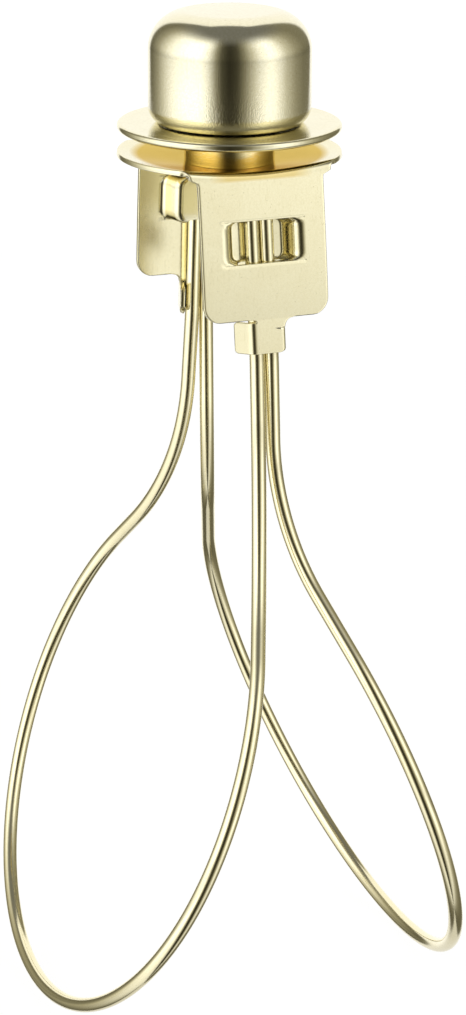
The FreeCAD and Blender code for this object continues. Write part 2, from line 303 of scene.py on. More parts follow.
def platedMetal(name, look):
    # one plated or turned metal; the look dictionary holds its own values
    material = bpy.data.materials.new(name)
    material.use_nodes = True
    tree = material.node_tree
    shader = tree.nodes["Principled BSDF"]
    shader.inputs["Metallic"].default_value = 1.0
    place = tree.nodes.new("ShaderNodeTexCoord").outputs["Object"]
    drawn = place
    if look.get("alongWire"):
        # along and around the wire, kept on the tube as attributes
        along = addNode(tree, "ShaderNodeAttribute", attribute_name="along")
        around = addNode(tree, "ShaderNodeAttribute", attribute_name="around")
        drawn = addNode(tree, "ShaderNodeCombineXYZ", {
            "X": along.outputs["Fac"], "Y": around.outputs["Fac"],
        }).outputs[0]
    grain = addNode(tree, "ShaderNodeGroup", {
        "Vector": place, "Scale": look["grainScale"], "Contrast": look["grainContrast"],
    }, node_tree=grainGroup).outputs
    streaks = addNode(tree, "ShaderNodeGroup", {
        "Vector": drawn, "Scale": look["streakScale"], "Stretch": look["streakStretch"],
    }, node_tree=streakGroup).outputs
    handling = addNode(tree, "ShaderNodeGroup", {
        "Vector": place, "Scale": look["filmScale"],
    }, node_tree=handlingGroup).outputs
    edges = addNode(tree, "ShaderNodeGroup", {
        "Reach": look["edgeReach"] * mm,
    }, node_tree=edgeGroup).outputs

    # colour: plain plating, deeper under the film, dull in the specks, a painted reflection of deeper
    # gold in the disc's bowl, and paler on edges as a painted highlight
    def tint(before, mask, colour, amount):
        share = calculate(tree, "MULTIPLY", mask, amount, use_clamp=True)
        return mixColours(tree, share, before, (*colour, 1))

    colour = mixColours(tree, grain["Mask"], (*look["colour"], 1), (*look["grainColour"], 1))
    colour = tint(colour, handling["Film"], look["filmColour"], look["filmTint"])
    colour = tint(colour, streaks["Mask"], look["streakColour"], look["streakTint"])
    colour = tint(colour, handling["Specks"], look["speckColour"], look["speckTint"])
    # painted reflection: the disc's bowl is tinted deeper gold, in its colour and its grazing tint, where
    # the gold dish above would be reflected
    if look.get("bowlReflection"):
        bowlReflection = look["bowlReflection"]
        mask = makeBowlReflectionMask(tree, place, bowlReflection)
        colour = tint(colour, mask, bowlReflection["colour"], bowlReflection["tint"])
        grazing = mixColours(tree, mask, (1, 1, 1, 1), (*bowlReflection["edgeColour"], 1))
        tree.links.new(grazing, shader.inputs["Specular Tint"])
    # painted highlight: every edge is tinted paler, whatever light falls on it
    colour = tint(colour, edges["Mask"], look["edgeColour"], look["edgeTint"])
    tree.links.new(colour, shader.inputs["Base Color"])

    # roughness: film, grain and drawing marks dull it, edges are rubbed brighter
    level = look["roughness"]
    for mask, amount in (
        (handling["Film"], look["filmRoughness"]),
        (grain["Mask"], look["grainRoughness"]),
        (streaks["Mask"], look["streakRoughness"]),
        (edges["Mask"], -look["edgePolish"]),
    ):
        level = calculate(tree, "MULTIPLY_ADD", mask, amount, level)
    held = calculate(tree, "MAXIMUM", level, look["leastRoughness"])
    tree.links.new(held, shader.inputs["Roughness"])

    # relief: grain over drawing marks over the rounded edge
    relief = edges["Normal"]
    for height, strength, depth in (
        (streaks["Height"], look["streakRelief"], look["streakDepth"]),
        (grain["Height"], look["grainRelief"], look["grainDepth"]),
    ):
        relief = bumpNormal(tree, relief, height, strength, depth)
    if look.get("footGrain"):
        # coarser grain near the cap's foot, gone above its lower half
        foot = look["footGrain"]
        apart = addNode(tree, "ShaderNodeSeparateXYZ", {0: place})
        fadeStart, fadeEnd = (height * mm for height in foot["heights"])
        lower = remap(tree, apart.outputs["Z"], fadeStart, fadeEnd, foot["strength"])
        pits = addNode(tree, "ShaderNodeTexNoise", {
            "Vector": place, "Scale": foot["scale"], "Detail": 1.0, "Roughness": 0.5,
        })
        relief = bumpNormal(tree, relief, pits.outputs["Fac"], lower, foot["depth"])
    tree.links.new(relief, shader.inputs["Normal"])
    return material


paleBrass = {
    "colour": (0.90, 0.85, 0.61),
    "grainColour": (0.84, 0.78, 0.53),
    "grainScale": 9000.0,
    "grainContrast": 1.0,
    "grainRoughness": 0.03,
    "grainRelief": 0.05,
    "grainDepth": 0.01,
    "streakStretch": (1.0, 1.0, 0.04),
    "streakScale": 1500.0,
    "streakColour": (0.66, 0.58, 0.34),
    "streakTint": 0.2,
    "streakRoughness": 0.04,
    "streakRelief": 0.05,
    "streakDepth": 0.02,
    "filmScale": 170.0,
    "filmColour": (0.76, 0.67, 0.40),
    "filmTint": 0.2,
    "filmRoughness": 0.03,
    "speckColour": (0.35, 0.28, 0.15),
    "speckTint": 0.5,
    "edgeReach": 0.12,
    # the edges' paler colour is a painted highlight
    "edgeColour": (0.93, 0.88, 0.66),
    "edgeTint": 0.5,
    "edgePolish": 0.04,
    "roughness": 0.12,
    "leastRoughness": 0.05,
}
metals = {
    "bracketSheet": platedMetal("bracketSheet", {
        **paleBrass,
        "grainContrast": 0.6,
        # painted reflection: the deeper gold of the dish's reflection in the disc's bowl, painted into
        # the colour and the grazing tint, which fades in over these radii and heights
        "bowlReflection": {
            "colour": (0.76, 0.60, 0.25),
            "edgeColour": (0.78, 0.64, 0.34),
            "tint": 0.9,
            "radii": (11.7, 10.6),
            "heights": (-0.45, -0.15),
        },
    }),
    "capSheet": platedMetal("capSheet", {
        **paleBrass,
        "colour": (0.91, 0.87, 0.68),
        "grainColour": (0.84, 0.79, 0.58),
        "filmColour": (0.81, 0.75, 0.52),
        "footGrain": {"strength": 0.9, "scale": 6500.0, "depth": 0.03, "heights": (11.0, 6.0)},
        "roughness": 0.11,
        "grainScale": 7000.0,
        "grainRelief": 0.06,
        "streakStretch": (1.0, 1.0, 0.02),
        "streakRelief": 0.07,
    }),
    "dishSheet": platedMetal("dishSheet", {
        **paleBrass,
        "colour": (0.91, 0.86, 0.64),
        "grainColour": (0.84, 0.79, 0.56),
        "roughness": 0.10,
        "grainScale": 6000.0,
        "grainRelief": 0.06,
        "streakTint": 0.15,
    }),
    "turnedBrass": platedMetal("turnedBrass", {
        **paleBrass,
        "colour": (0.95, 0.84, 0.50),
        "grainColour": (0.90, 0.77, 0.42),
        "filmColour": (0.82, 0.65, 0.26),
        "streakStretch": (0.05, 0.05, 1.0),
        "streakScale": 6000.0,
        "streakRelief": 0.2,
        "roughness": 0.14,
    }),
    "springWire": platedMetal("springWire", {
        **paleBrass,
        "colour": (0.94, 0.88, 0.64),
        "grainColour": (0.90, 0.83, 0.56),
        "alongWire": True,
        "streakStretch": (0.02, 3.0, 1.0),
        "streakScale": 900.0,
        "roughness": 0.10,
        "grainRelief": 0.08,
    }),
}


# Cap, dish, nut and stud. Outlines are (radius, height, rounding) corners.

capSizes = {
    "top": 17.45,
    "radius": 9.5,
    "gauge": 0.5,
    "crown": 4.5,
    "hem": 4.6,
    "hemRadius": 2.3,
    "hemHeight": 1.0,
    "hemFoot": 8.5,
    "hemBend": 0.5,
    "mouth": 7.2,
    "mouthRound": 0.2,
    "innerFoot": 8.35,
    "innerBend": 0.1,
    "innerHemHeight": 1.1,
}


def buildCap(sizes):
    gauge, radius, hem, top = sizes["gauge"], sizes["radius"], sizes["hem"], sizes["top"]
    piece = turnedPiece("capShellDrawn", [
        (0, top, 0),
        (radius, top, sizes["crown"]),
        (radius, hem + sizes["hemHeight"], sizes["hemRadius"]),
        (sizes["hemFoot"], hem, sizes["hemBend"]),
        (sizes["mouth"], hem, sizes["mouthRound"]),
        (sizes["mouth"], hem + gauge, sizes["mouthRound"]),
        (sizes["innerFoot"], hem + gauge, sizes["innerBend"]),
        (radius - gauge, hem + sizes["innerHemHeight"], sizes["hemRadius"] - gauge),
        (radius - gauge, top - gauge, sizes["crown"] - gauge),
        (0, top - gauge, 0),
    ], metals["capSheet"], segments=192)
    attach(piece, "cap")
    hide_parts("cap_shell")


dishSizes = {
    "bore": 4.6,
    "top": 4.55,
    "gauge": 0.4,
    "radius": 13.1,
    "shoulder": 3.85,
    "innerShoulder": 4.1,
    "edgeRadius": 12.5,
    "edge": 3.5,
    "bend": 0.4,
    "innerBend": 0.12,
    "round": 0.1,
    "sag": 0.06,
    "sagWidth": 1.6,
    "sagBend": 1.5,
}


def buildDish(sizes):
    # flat pressed washer, its edge turned down and a little in
    top, gauge, radius = sizes["top"], sizes["gauge"], sizes["radius"]
    edge = Vector((sizes["edgeRadius"], sizes["edge"]))
    turnIn = (Vector((radius, sizes["shoulder"])) - edge).normalized()
    innerEdge = edge + Vector((-turnIn.y, turnIn.x)) * gauge
    piece = turnedPiece("retainingDishPressed", [
        (sizes["bore"], top, sizes["round"]),
        (sizes["bore"], top - gauge, sizes["round"]),
        (radius - gauge, top - gauge, sizes["innerBend"]),
        (radius - gauge, sizes["innerShoulder"], sizes["round"]),
        (*innerEdge, sizes["innerBend"]),
        (*edge, sizes["innerBend"]),
        (radius, sizes["shoulder"], sizes["bend"]),
        (radius, top, sizes["bend"]),
        (radius - sizes["sagWidth"], top - sizes["sag"], sizes["sagBend"]),
    ], metals["dishSheet"], segments=192)
    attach(piece, "dish")
    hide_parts("retaining_dish")


nutSizes = {
    "bore": 3.18,
    "boreRound": 0.25,
    "foot": 3.3,
    "lipTop": 4.1,
    "lip": 5.05,
    "lipRound": 0.12,
    "spigot": 4.55,
    "skirtFoot": 4.6,
    "skirt": 6.5,
    "seat": 5.1,
    "flange": 8.95,
    "flangeRound": 0.85,
    "flangeTop": 7.2,
    "body": 5.6,
    "top": 13.7,
    "round": 0.15,
    "endRound": 0.2,
}


def buildNut(sizes):
    piece = turnedPiece("capNutTurned", [
        (sizes["bore"], sizes["foot"], sizes["boreRound"]),
        (sizes["lip"], sizes["foot"], sizes["endRound"]),
        (sizes["lip"], sizes["lipTop"], sizes["lipRound"]),
        (sizes["spigot"], sizes["lipTop"], 0),
        (sizes["spigot"], sizes["skirtFoot"], 0),
        (sizes["skirt"], sizes["skirtFoot"], sizes["round"]),
        (sizes["skirt"], sizes["seat"], 0),
        (sizes["flange"], sizes["seat"], sizes["flangeRound"]),
        (sizes["flange"], sizes["flangeTop"], sizes["round"]),
        (sizes["body"], sizes["flangeTop"], 0),
        (sizes["body"], sizes["top"], sizes["endRound"]),
        (sizes["bore"], sizes["top"], sizes["boreRound"]),
    ], metals["turnedBrass"], segments=128)
    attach(piece, "cap")
    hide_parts("cap_nut")


studSizes = {
    "postTop": 12.2,
    "leadIn": 0.15,
    "leadHeight": 0.35,
    "rootRadius": 2.72,
    "neckRadius": 5.3,
    "neckHeight": 3.2,
    "neckShoulder": 0.4,
    "neckBend": 1.5,
    "round": 0.1,
    "shankRadius": 2.6,
    "stakeRadius": 3.7,
    "stakeRound": 0.36,
    "gauge": 0.6,
    "stakeHeight": 0.9,
    "threadDepth": 0.3,
    "threadLift": 0.05,
    "threadStart": 0.3,
    "threadTurns": 8.8,
    "pitch": 0.9407,
}


def buildStud(sizes):
    root, neck, gauge = sizes["rootRadius"], sizes["neckRadius"], sizes["gauge"]
    top, neckTop, shoulder = sizes["postTop"], sizes["neckHeight"], sizes["neckShoulder"]
    piece = turnedPiece("studTurned", [
        (0, top, 0),
        (root - sizes["leadIn"], top, sizes["round"]),
        (root, top - sizes["leadHeight"], 0),
        (root, neckTop, sizes["round"]),
        (neck - shoulder, neckTop, sizes["round"]),
        (neck, neckTop - 2 * shoulder, sizes["neckBend"]),
        (neck, 0, 0),
        (sizes["shankRadius"], 0, 0),
        (sizes["shankRadius"], -gauge, 0),
        (sizes["stakeRadius"], -gauge, 0),
        (sizes["stakeRadius"], -gauge - sizes["stakeHeight"], sizes["stakeRound"]),
        (0, -gauge - sizes["stakeHeight"], 0),
    ], metals["turnedBrass"], segments=128)
    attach(piece, "root")
    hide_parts("threaded_stud")


def sweepSection(tree, line, section, material):
    # the tree's end: the section swept along the line as one mesh with its material
    tube = addNode(tree, "GeometryNodeCurveToMesh", {
        "Curve": line, "Profile Curve": section, "Fill Caps": True,
    })
    whole = addNode(tree, "GeometryNodeRealizeInstances", {"Geometry": tube.outputs["Mesh"]})
    painted = addNode(tree, "GeometryNodeSetMaterial", {
        "Geometry": whole.outputs["Geometry"], "Material": material,
    })
    addNode(tree, "NodeGroupOutput", {"Geometry": painted.outputs["Geometry"]})


def runTree(thing, tree, values):
    # a modifier's inputs are set by the socket's identifier
    modifier = thing.modifiers.new(tree.name, "NODES")
    modifier.node_group = tree
    for item in tree.interface.items_tree:
        if item.item_type == "SOCKET" and item.in_out == "INPUT" and item.name in values:
            modifier[item.identifier] = values[item.name]


def makeThreadTree():
    # a ridge that follows a helix up the post
    tree, given = makeTree("GeometryNodeTree", "threadRidge", [
        ("Radius", "Float", 2.8 * mm),
        ("Depth", "Float", 0.3 * mm),
        ("Pitch", "Float", 0.94 * mm),
        ("Turns", "Float", 9.0),
        ("Material", "Material"),
    ], [("Geometry", "Geometry")])
    helix = addNode(tree, "GeometryNodeCurveSpiral", {
        "Resolution": 72, "Rotations": given["Turns"],
        "Start Radius": given["Radius"], "End Radius": given["Radius"],
        "Height": calculate(tree, "MULTIPLY", given["Turns"], given["Pitch"]),
    })
    upright = addNode(tree, "GeometryNodeSetCurveNormal", {"Curve": helix.outputs["Curve"]}, mode="Z_UP")
    ridge = addNode(tree, "GeometryNodeCurvePrimitiveCircle", {
        "Resolution": 3, "Radius": given["Depth"],
    })
    sweepSection(tree, upright.outputs["Curve"], ridge.outputs["Curve"], given["Material"])
    return tree


def buildThread(sizes):
    piece = addObject("postThread", bpy.data.meshes.new("postThread"))
    runTree(piece, makeThreadTree(), {
        "Radius": (sizes["rootRadius"] + sizes["threadLift"]) * mm,
        "Depth": sizes["threadDepth"] * mm,
        "Pitch": sizes["pitch"] * mm,
        "Turns": sizes["threadTurns"],
        "Material": metals["turnedBrass"],
    })
    bakeModifiers(piece)
    foot = (sizes["neckHeight"] + sizes["threadStart"]) * mm
    piece.data.transform(Matrix.Translation((0, 0, foot)))
    smoothShade(piece.data, 30)
    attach(piece, "root")


print("turning the cap, dish, nut and stud")
buildCap(capSizes)
buildDish(dishSizes)
buildNut(nutSizes)
buildStud(studSizes)
buildThread(studSizes)


# Folded bracket

bracketSizes = {
    "gauge": 0.6,
    "discRadius": 13.05,
    "floorRadius": 5.5,
    "rise": 1.25,
    "bowlCurve": 1.15,
    "reach": 9.79,
    "halfWidth": 7.7,
    "flare": 0.5,
    "foldRadius": 0.75,
    "corner": 2.0,
    "bow": 0.1,
    "windowHalf": 5.2,
    "windowHeight": 4.9,
    "windowEnd": 0.9,
    "strapFlat": 3.2,
    "strapRoot": 4.2,
    "strapRootRadius": 1.4,
    "strapPush": 2.45,
    "strapBend": 0.45,
    "strapTaper": 0.02,
    # by side, -1 left and 1 right; a root is its ledge beside the tongue and its fillet
    "tongueHalves": {-1: 1.38, 1: 1.83},
    "roots": {-1: (0.0, 0.35), 1: (0.38, 1.1)},
    "wingBends": {-1: 0.9, 1: 0.45},
    "wingPanel": 3.0,
    "wingTip": 0.5,
    "wingGap": 0.02,
    "tongueCorner": 0.5,
    "openWing": 68,
    "closedWing": 74,
    "edgeRound": 0.09,
}
frontPlate = {"turned": False, "splay": 7.9, "bottom": 16.35, "windowCentre": 7.4, "tongueEnd": 20.35}
rearPlate = {"turned": True, "splay": 4.0, "bottom": 15.94, "windowCentre": 6.15, "tongueEnd": 20.45}
# faces in each stretch of the sheet, down from the disc and out from the middle
bracketRows = {
    "disc": 34, "fold": 9, "upper": 16, "window": 14, "lower": 10, "corner": 12,
    "leftFillet": 5, "rightFillet": 7, "tongue": 14,
}
bracketColumns = {"tongue": 8, "window": 7, "side": 9, "wingBend": 8, "wingPanel": 6, "wingTip": 6}
tiny = 1e-9


def quarterSteps(count):
    # sines of equal steps through a right angle
    return [math.sin(math.radians(90 * k / count)) for k in range(count + 1)]


class BracketSheet:
    # half of the bracket's outer face as rows and columns, from the disc's middle to one tongue

    def __init__(self, sizes, plate, bm):
        self.sizes = {**sizes, **plate}
        self.lean = math.radians(plate["splay"])
        self.turned = plate["turned"]
        self.bm = bm
        self.windowTop = plate["windowCentre"] - sizes["windowHeight"] / 2
        self.windowBase = plate["windowCentre"] + sizes["windowHeight"] / 2

    def bowl(self, x, y):
        s = self.sizes
        t = (math.hypot(x, y) - s["floorRadius"]) / (s["discRadius"] - s["floorRadius"])
        return s["rise"] * max(t, 0) ** s["bowlCurve"]

    def onPlate(self, x, q, inward=0.0):
        # q runs down the plate from its sharp corner, inward is along its inner normal
        sin, cos = math.sin(self.lean), math.cos(self.lean)
        reach = self.sizes["bottom"] / 2
        inward -= self.sizes["bow"] * max(0, 1 - ((q - reach) / reach) ** 2)
        return Vector((x, -self.sizes["reach"] - q * sin + inward * cos, -q * cos - inward * sin))

    def fold(self, x):
        # tangent points of the fold for one column, and the sharp corner between them
        q = 0.0
        for _ in range(12):
            corner = self.onPlate(x, q)
            q = -self.bowl(x, corner.y) / math.cos(self.lean)
        corner = self.onPlate(x, q)
        step = 0.01
        slope = (self.bowl(x, corner.y) - self.bowl(x, corner.y + step)) / step
        outward = Vector((0, -1, slope)).normalized()
        downward = (self.onPlate(x, 1) - self.onPlate(x, 0)).normalized()
        turn = outward.angle(downward)
        setback = self.sizes["foldRadius"] * math.tan(turn / 2)
        return corner - outward * setback, corner, corner + downward * setback, turn, q + setback

    def point(self, x, row):
        # a row is its stretch of the sheet and its place there: a share, or q on the plate
        kind, t = row
        start, corner, end, turn, q = self.fold(x)
        if kind == "disc":
            y = start.y * t
            slip = start.z - self.bowl(x, start.y)
            return Vector((x, y, self.bowl(x, y) + slip * t ** 8))
        if kind == "fold":
            return onArc(start, corner, end, math.cos(turn / 2), t)
        if kind == "upper":
            return self.onPlate(x, q + (self.windowTop - q) * t)
        return self.onPlate(x, t)

    def halfWidth(self, row):
        s = self.sizes
        if row[0] == "plate":
            cornerStart = s["bottom"] - s["corner"]
            if row[1] <= cornerStart:
                return s["halfWidth"]
            run = min(row[1] - cornerStart, s["corner"])
            return s["halfWidth"] - s["corner"] + math.sqrt(s["corner"] ** 2 - run ** 2)
        # on the disc the edge is its circle, which flares out of the plate's sides
        width = s["discRadius"] * 0.8
        for _ in range(20):
            p = self.point(width, row)
            edge = math.sqrt(s["discRadius"] ** 2 - p.y ** 2)
            if p.z < -0.001:
                rise = min(p.z + s["flare"], s["flare"])
                curve = math.sqrt(s["flare"] ** 2 - max(rise, 0) ** 2)
                edge = min(edge, s["halfWidth"] + s["flare"] - curve)
            width = (width + edge) / 2
        return width

    def patch(self, rows, wanted=None):
        # the wanted faces of a grid between rows of points; the rear half is turned round
        grid = []
        for points in rows:
            line = []
            for p in points:
                q = Vector((-p.x, -p.y, p.z)) if self.turned else p
                line.append(self.bm.verts.new(q * mm))
            grid.append(line)
        for i in range(len(grid) - 1):
            for j in range(len(grid[0]) - 1):
                if wanted is None or wanted(i, j):
                    corners = (grid[i][j], grid[i + 1][j], grid[i + 1][j + 1], grid[i][j + 1])
                    self.bm.faces.new(corners)

    def spread(self, start, end, count):
        return [start + (end - start) * k / count for k in range(count)]

    def mainRows(self):
        s = self.sizes
        cornerStart = s["bottom"] - s["corner"]
        rows = []
        for kind in ("disc", "fold", "upper"):
            rows += [(kind, t) for t in self.spread(0, 1, bracketRows[kind])]
        places = self.spread(self.windowTop, self.windowBase, bracketRows["window"])
        places += self.spread(self.windowBase, cornerStart, bracketRows["lower"])
        places += [cornerStart + s["corner"] * share for share in quarterSteps(bracketRows["corner"])]
        return rows + [("plate", q) for q in places]

    def rootShare(self, side):
        # where the tongue's root meets the plate's lower edge, as a share of the half width there
        s = self.sizes
        return (s["tongueHalves"][side] + sum(s["roots"][side])) / (s["halfWidth"] - s["corner"])

    def shares(self, lop):
        # columns as shares of the half width; the tongue's lines move apart as lop goes from 0 to 1
        window = self.sizes["windowHalf"] / self.sizes["halfWidth"]
        even = (self.rootShare(-1) + self.rootShare(1)) / 2
        sides = []
        for side in (-1, 1):
            tongue = even + (self.rootShare(side) - even) * lop
            line = self.spread(0, tongue, bracketColumns["tongue"])
            line += self.spread(tongue, window, bracketColumns["window"])
            line += self.spread(window, 1, bracketColumns["side"]) + [1]
            sides.append([side * u for u in line])
        return sides[0][:0:-1] + sides[1]

    def strapPath(self, narrowed):
        # (x, inward) points of the lanced strap's outer face, its ends drawn in by an amount
        s = self.sizes
        right = roundCorners([
            (0, s["strapPush"], 0),
            (s["strapFlat"] - narrowed, s["strapPush"], s["strapBend"]),
            (s["strapRoot"] - narrowed, 0, s["strapRootRadius"]),
            (s["windowHalf"], 0, 0),
        ])
        return [Vector((-p.x, p.y)) for p in right[:0:-1]] + right

    def wingPath(self, side, angle):
        # (x, inward, run so far) from the tongue's edge round the bend to the tip
        s = self.sizes
        turn = math.radians(angle)
        radius = s["wingBends"][side]
        tip = s["wingTip"]
        bend = radius * turn
        panel = s["wingPanel"] - radius * math.tan(turn / 2)
        tipStart = bend + panel - tip
        marks = self.spread(0, bend, bracketColumns["wingBend"])
        marks += self.spread(bend, tipStart, bracketColumns["wingPanel"])
        marks += [tipStart + tip * share for share in quarterSteps(bracketColumns["wingTip"])]
        path = []
        for run in marks:
            around = min(run, bend) / radius
            rest = max(0, run - bend)
            x = s["tongueHalves"][side] + radius * math.sin(around) + rest * math.cos(turn)
            path.append((x, radius * (1 - math.cos(around)) + rest * math.sin(turn), run))
        return path, bend + panel

    def tongueCorner(self, q):
        # how far the rounded lower corner draws in
        radius = self.sizes["tongueCorner"]
        past = max(0, q - self.sizes["tongueEnd"] + radius)
        return radius - math.sqrt(max(0, radius ** 2 - past ** 2))

    def strapRows(self, places):
        # the strap's rows match the plate's rows at the window's ends
        s = self.sizes
        straightHalf = s["windowHeight"] / 2 - s["windowEnd"]
        strap = []
        for place in places:
            past = max(0, abs(place - s["windowCentre"]) - straightHalf)
            narrowed = s["windowEnd"] - math.sqrt(max(0, s["windowEnd"] ** 2 - past ** 2))
            line = []
            for p in self.strapPath(narrowed):
                q = place + (s["windowCentre"] - place) * s["strapTaper"] * min(1, p.y)
                line.append(self.onPlate(p.x, q, p.y))
            strap.append(line)
        return strap

    def tongueRows(self, marks, ledgeEnd, joining):
        # rows below the plate's edge narrow round the fillet at each side of the root
        s = self.sizes
        tongue = []
        for q in marks:
            halves = {}
            for side, (ledge, fillet) in s["roots"].items():
                run = min(q - s["bottom"], fillet)
                past = math.sqrt(max(0, fillet ** 2 - (fillet - run) ** 2))
                wide = ledge if q <= ledgeEnd else 0
                halves[side] = s["tongueHalves"][side] + wide + fillet - past
            halves[1] -= self.tongueCorner(q)
            line = []
            for u in joining:
                side = -1 if u < 0 else 1
                line.append(self.onPlate(u / self.rootShare(side) * halves[side], q))
            tongue.append(line)
        return tongue

    def wingRows(self, side, angle, marks):
        s = self.sizes
        path, length = self.wingPath(side, angle)
        middle = (marks[0] + s["tongueEnd"]) / 2
        reach = (s["tongueEnd"] - marks[0]) / 2
        lines = []
        for q in marks:
            line = []
            for x, inward, run in path:
                past = max(0, run - (length - s["wingTip"]))
                cut = s["wingTip"] - math.sqrt(max(0, s["wingTip"] ** 2 - past ** 2))
                x -= self.tongueCorner(q) if side > 0 else 0
                line.append(self.onPlate(side * x, middle + (q - middle) * (reach - cut) / reach, inward))
            lines.append(line if side > 0 else line[::-1])
        return lines

    def build(self):
        s = self.sizes
        rows = self.mainRows()
        shares = self.shares(1)
        windowShare = s["windowHalf"] / s["halfWidth"]
        firstWindow = sum(bracketRows[kind] for kind in ("disc", "fold", "upper"))
        lastWindow = firstWindow + bracketRows["window"]
        main = []
        for row in rows:
            width = self.halfWidth(row)
            lop = row[1] if row[0] == "disc" else 1
            main.append([self.point(u * width, row) for u in self.shares(lop)])

        def outsideWindow(i, j):
            middle = abs(shares[j] + shares[j + 1]) / 2
            return not (firstWindow <= i < lastWindow and middle < windowShare)

        leftFillet, rightFillet = s["roots"][-1][1], s["roots"][1][1]
        filletEnd = s["bottom"] + rightFillet
        marks = [s["bottom"] + leftFillet * share for share in quarterSteps(bracketRows["leftFillet"])]
        marks += self.spread(marks[-1], filletEnd, bracketRows["rightFillet"])[1:] + [filletEnd]
        firstOpen, firstClosed = bracketRows["leftFillet"], len(marks)
        marks += self.spread(filletEnd + s["wingGap"], s["tongueEnd"], bracketRows["tongue"])
        marks.append(s["tongueEnd"])
        joining = [j for j, u in enumerate(shares)
                   if -self.rootShare(-1) - tiny <= u <= self.rootShare(1) + tiny]
        tongue = [[main[-1][j] for j in joining]]
        tongue += self.tongueRows(marks[1:], marks[firstClosed - 1], [shares[j] for j in joining])

        self.patch(main, outsideWindow)
        self.patch(self.strapRows([row[1] for row in rows[firstWindow:lastWindow + 1]]))
        self.patch(tongue)
        self.patch(self.wingRows(-1, s["openWing"], marks[firstOpen:]))
        self.patch(self.wingRows(1, s["closedWing"], marks[firstClosed:]))


def buildBracket(sizes):
    bm = bmesh.new()
    for plate in (frontPlate, rearPlate):
        BracketSheet(sizes, plate, bm).build()
    bmesh.ops.remove_doubles(bm, verts=bm.verts, dist=2e-6)
    mesh = bpy.data.meshes.new("bracketFolded")
    bm.to_mesh(mesh)
    bm.free()
    piece = addObject("bracketFolded", mesh, metals["bracketSheet"])
    gauge = piece.modifiers.new("gauge", "SOLIDIFY")
    gauge.thickness = sizes["gauge"] * mm
    gauge.offset = -1
    gauge.use_even_offset = True
    gauge.use_quality_normals = True
    rim = piece.modifiers.new("rim", "BEVEL")
    rim.width = sizes["edgeRound"] * mm
    rim.segments = 2
    rim.limit_method = "ANGLE"
    rim.angle_limit = math.radians(50)
    rim.use_clamp_overlap = False
    mesh.shade_smooth()
    bakeModifiers(piece)
    smoothShade(piece.data, 50)
    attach(piece, "root")
    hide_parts("bracket")


print("folding the bracket")
buildBracket(bracketSizes)


# Wire loops

wireSizes = {
    "diameter": 1.75,
    "clearance": 0.05,
    "gauge": 0.6,
    "topDepth": 3.45,
    "exitDepth": 20.95,
    "exitRadius": 20.0,
    "sides": 24,
    "step": 0.55,
    "around": 5.5,
}
loopSizes = {
    "left": {
        "side": -1, "ringRadius": 31.29, "tilt": 21.5, "overRing": 4.23,
        "shoulderOut": 0.95, "shoulderSpread": 12.6, "shoulderHeight": -41.45, "shoulderRadius": 36.0,
    },
    "right": {
        "side": 1, "ringRadius": 30.59, "tilt": 20.7, "overRing": 5.1,
        "shoulderOut": 1.6, "shoulderSpread": 10.9, "shoulderHeight": -41.45, "shoulderRadius": 25.0,
    },
}


def bendPoints(before, corner, after, radius, step):
    # a bend of the wire at a corner of its route, from one tangent point to the other
    back, ahead = (before - corner).normalized(), (after - corner).normalized()
    half = back.angle(ahead) / 2
    setback = radius / math.tan(half)
    start, end = corner + back * setback, corner + ahead * setback
    steps = max(4, round((end - start).length / step))
    arc = [onArc(start, corner, end, math.sin(half), k / steps) for k in range(1, steps)]
    return [start] + arc + [end]


def wireRoute(loop, sizes):
    # down the front plate, round the ring and up the rear plate
    tilt = math.radians(loop["tilt"])
    radius = loop["ringRadius"]
    shoulder = Vector((loop["shoulderOut"], loop["shoulderSpread"], loop["shoulderHeight"]))
    down = Vector((math.sin(tilt), 0, -math.cos(tilt)))
    across = Vector((0, 1, 0))
    distance = radius + loop["overRing"]
    centre = Vector((shoulder.x, 0, shoulder.z)) + down * math.sqrt(distance ** 2 - shoulder.y ** 2)
    away = (shoulder - centre).normalized()
    share = radius / distance
    sideways = (across - away * away.y).normalized()
    touch = centre + (away * share + sideways * math.sqrt(1 - share ** 2)) * radius

    def leg(plate):
        lean = math.radians(plate["splay"])
        lane = sizes["diameter"] / 2 + sizes["clearance"] / 2
        inPlate = sizes["gauge"] + sizes["clearance"] + sizes["diameter"] / 2
        reach = bracketSizes["reach"] - inPlate / math.cos(lean)
        top, leave = (Vector((lane, reach + depth * math.tan(lean), -depth))
                      for depth in (sizes["topDepth"], sizes["exitDepth"]))
        upper = bendPoints(top, leave, shoulder, sizes["exitRadius"], sizes["step"])
        lower = bendPoints(leave, shoulder, touch, loop["shoulderRadius"], sizes["step"])
        return [top] + upper + lower

    begin = math.atan2((touch - centre).dot(across), (touch - centre).dot(down))
    count = round(2 * begin * radius / sizes["step"])
    ring = []
    for k in range(count + 1):
        angle = begin * (1 - 2 * k / count)
        ring.append(centre + (down * math.cos(angle) - across * math.sin(angle)) * radius)
    route = [Vector((p.x, -p.y, p.z)) for p in leg(frontPlate)] + ring + leg(rearPlate)[::-1]
    return [Vector((p.x * loop["side"], p.y, p.z)) for p in route]


def keepValue(tree, name, geometry, value):
    return addNode(tree, "GeometryNodeStoreNamedAttribute", {
        "Geometry": geometry, "Name": name, "Value": value,
    }, data_type="FLOAT", domain="POINT").outputs["Geometry"]


